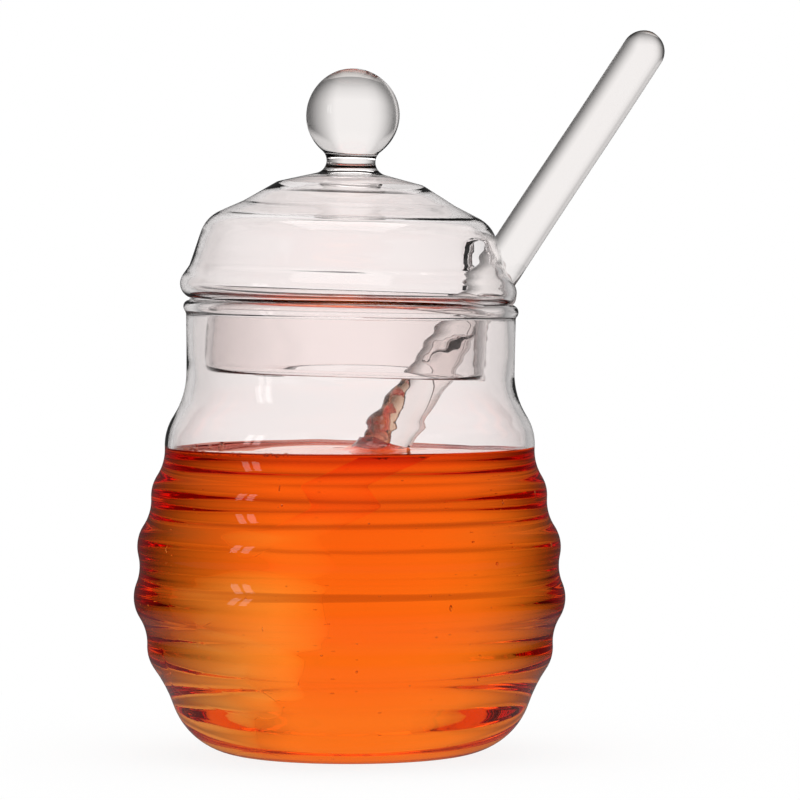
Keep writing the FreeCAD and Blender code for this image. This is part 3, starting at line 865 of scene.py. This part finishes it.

# Through the glass the table shows a painted pool of the warm light that the honey throws close to the jar,
# with painted shadow under and around it, darker to the sides as the room's walls are.
painted_glow = shader.add("ShaderNodeValToRGB", {"stops": [
    (0.02, (0.4, 0.3, 0.24)), (0.042, (1.0, 0.8, 0.62)), (0.06, (1.0, 0.64, 0.4)),
    (0.08, (0.85, 0.55, 0.38)), (0.095, (0.45, 0.4, 0.38)), (0.12, (0.6, 0.58, 0.56)),
    (0.165, (0.85, 0.84, 0.83))]}, {0: away})
around = facing(shader, place)[0]
painted_glow = shader.add("ShaderNodeVectorMath", {"operation": "MULTIPLY"}, {0: painted_glow, 1: around})
matt = shader.add("ShaderNodeBsdfDiffuse", {}, {"Color": (0.9, 0.9, 0.9, 1.0)})
from_camera, from_gloss, through_glass = rays(shader)
seen = (from_camera + from_gloss + through_glass).least(1.0)
mirrored = shader.add("ShaderNodeMix", {"data_type": "RGBA"}, {
    0: through_glass, 6: (0.08, 0.08, 0.08, 1.0), 7: painted_glow}, output=2)
shown = shader.add("ShaderNodeMix", {"data_type": "RGBA"}, {
    0: from_camera, 6: mirrored, 7: (1.0, 1.0, 1.0, 1.0)}, output=2)
white = shader.add("ShaderNodeEmission", {}, {"Color": shown, "Strength": 1.0})
shaded = shader.add("ShaderNodeMapRange", {}, {
    "Value": away, "From Min": 0.05, "From Max": 0.15, "To Min": 0.12, "To Max": 0.0})
both = shader.add("ShaderNodeMixShader", {}, {0: seen * (1.0 - shaded), 1: matt, 2: white})
shader.finish("ShaderNodeOutputMaterial", both)
floor_mesh.materials.append(floor_material)

world = bpy.data.worlds.new("white_room")
bpy.context.scene.world = world
shader = Shader(world)
heading = shader.add("ShaderNodeTexCoord", output="Generated")
around, rise = facing(shader, heading)

# The walls fall off below the horizon, and the ceiling is lit evenly.
fall = shader.add("ShaderNodeValToRGB", {"stops": [
    (0.1, (0.2,) * 3), (0.21, (0.5,) * 3), (0.33, (0.85,) * 3), (0.41, (1.0,) * 3), (0.85, (1.0,) * 3)]},
    {0: rise * 0.5 + 0.5})
above = shader.add("ShaderNodeMapRange", {"interpolation_type": "SMOOTHSTEP"}, {
    "Value": rise, "From Min": 0.2, "From Max": 0.5, "To Max": 0.75})
walls = shader.add("ShaderNodeVectorMath", {"operation": "MAXIMUM"}, {
    0: shader.add("ShaderNodeVectorMath", {"operation": "MULTIPLY"}, {0: around, 1: fall}), 1: above})
room = shader.add("ShaderNodeBackground", {}, {"Color": walls, "Strength": 1.0})
dim = shader.add("ShaderNodeBackground", {}, {"Color": walls, "Strength": 0.06})
plain = shader.add("ShaderNodeBackground", {}, {"Color": (1.0, 1.0, 1.0, 1.0), "Strength": 0.75})
backdrop = shader.add("ShaderNodeBackground", {}, {"Color": (1.0, 1.0, 1.0, 1.0), "Strength": 1.0})
from_camera, from_gloss, through_glass = rays(shader)
mirrored = shader.add("ShaderNodeMixShader", {}, {0: from_gloss, 1: plain, 2: dim})
lit = shader.add("ShaderNodeMixShader", {}, {0: through_glass, 1: mirrored, 2: room})
shader.finish("ShaderNodeOutputWorld", shader.add("ShaderNodeMixShader", {}, {
    0: from_camera, 1: lit, 2: backdrop}))


def panel(name, place, size, power, aim=(0.0, 0.0, 0.07)):
    """A flat lamp that faces the jar."""
    light = bpy.data.lights.new(name, "AREA")
    light.shape = "RECTANGLE"
    light.size, light.size_y = size
    light.energy = power
    lamp = bpy.data.objects.new(name, light)
    bpy.context.scene.collection.objects.link(lamp)
    lamp.location = place
    lamp.rotation_euler = (Vector(aim) - Vector(place)).to_track_quat("-Z", "Y").to_euler()
    return lamp


panel("panel_above", (0.0, -0.1, 1.4), (1.2, 1.2), 9.0).visible_glossy = False
panel("panel_front_left", (-0.80, -0.50, 0.34), (0.08, 0.30), 0.16)
panel("panel_front_left_pair", (-0.86, -0.40, 0.34), (0.08, 0.30), 0.16)

CAMERA_ASIDE = 0.010
CAMERA_REACH = 0.99
CAMERA_HEIGHT = 0.1035
TARGET_HEIGHT = 0.0707
camera_data = bpy.data.cameras.new("camera")
camera_data.lens = 222.75
camera_data.sensor_width = 36.0
camera = bpy.data.objects.new("camera", camera_data)
bpy.context.scene.collection.objects.link(camera)
camera.location = foot + Vector((CAMERA_ASIDE, -CAMERA_REACH, CAMERA_HEIGHT))
target = foot + Vector((CAMERA_ASIDE, 0.0, TARGET_HEIGHT))
camera.rotation_euler = (target - camera.location).to_track_quat("-Z", "Y").to_euler()
bpy.context.scene.camera = camera

scene = bpy.context.scene
scene.view_settings.view_transform = "Standard"
scene.cycles.max_bounces = 32
scene.cycles.transmission_bounces = 32
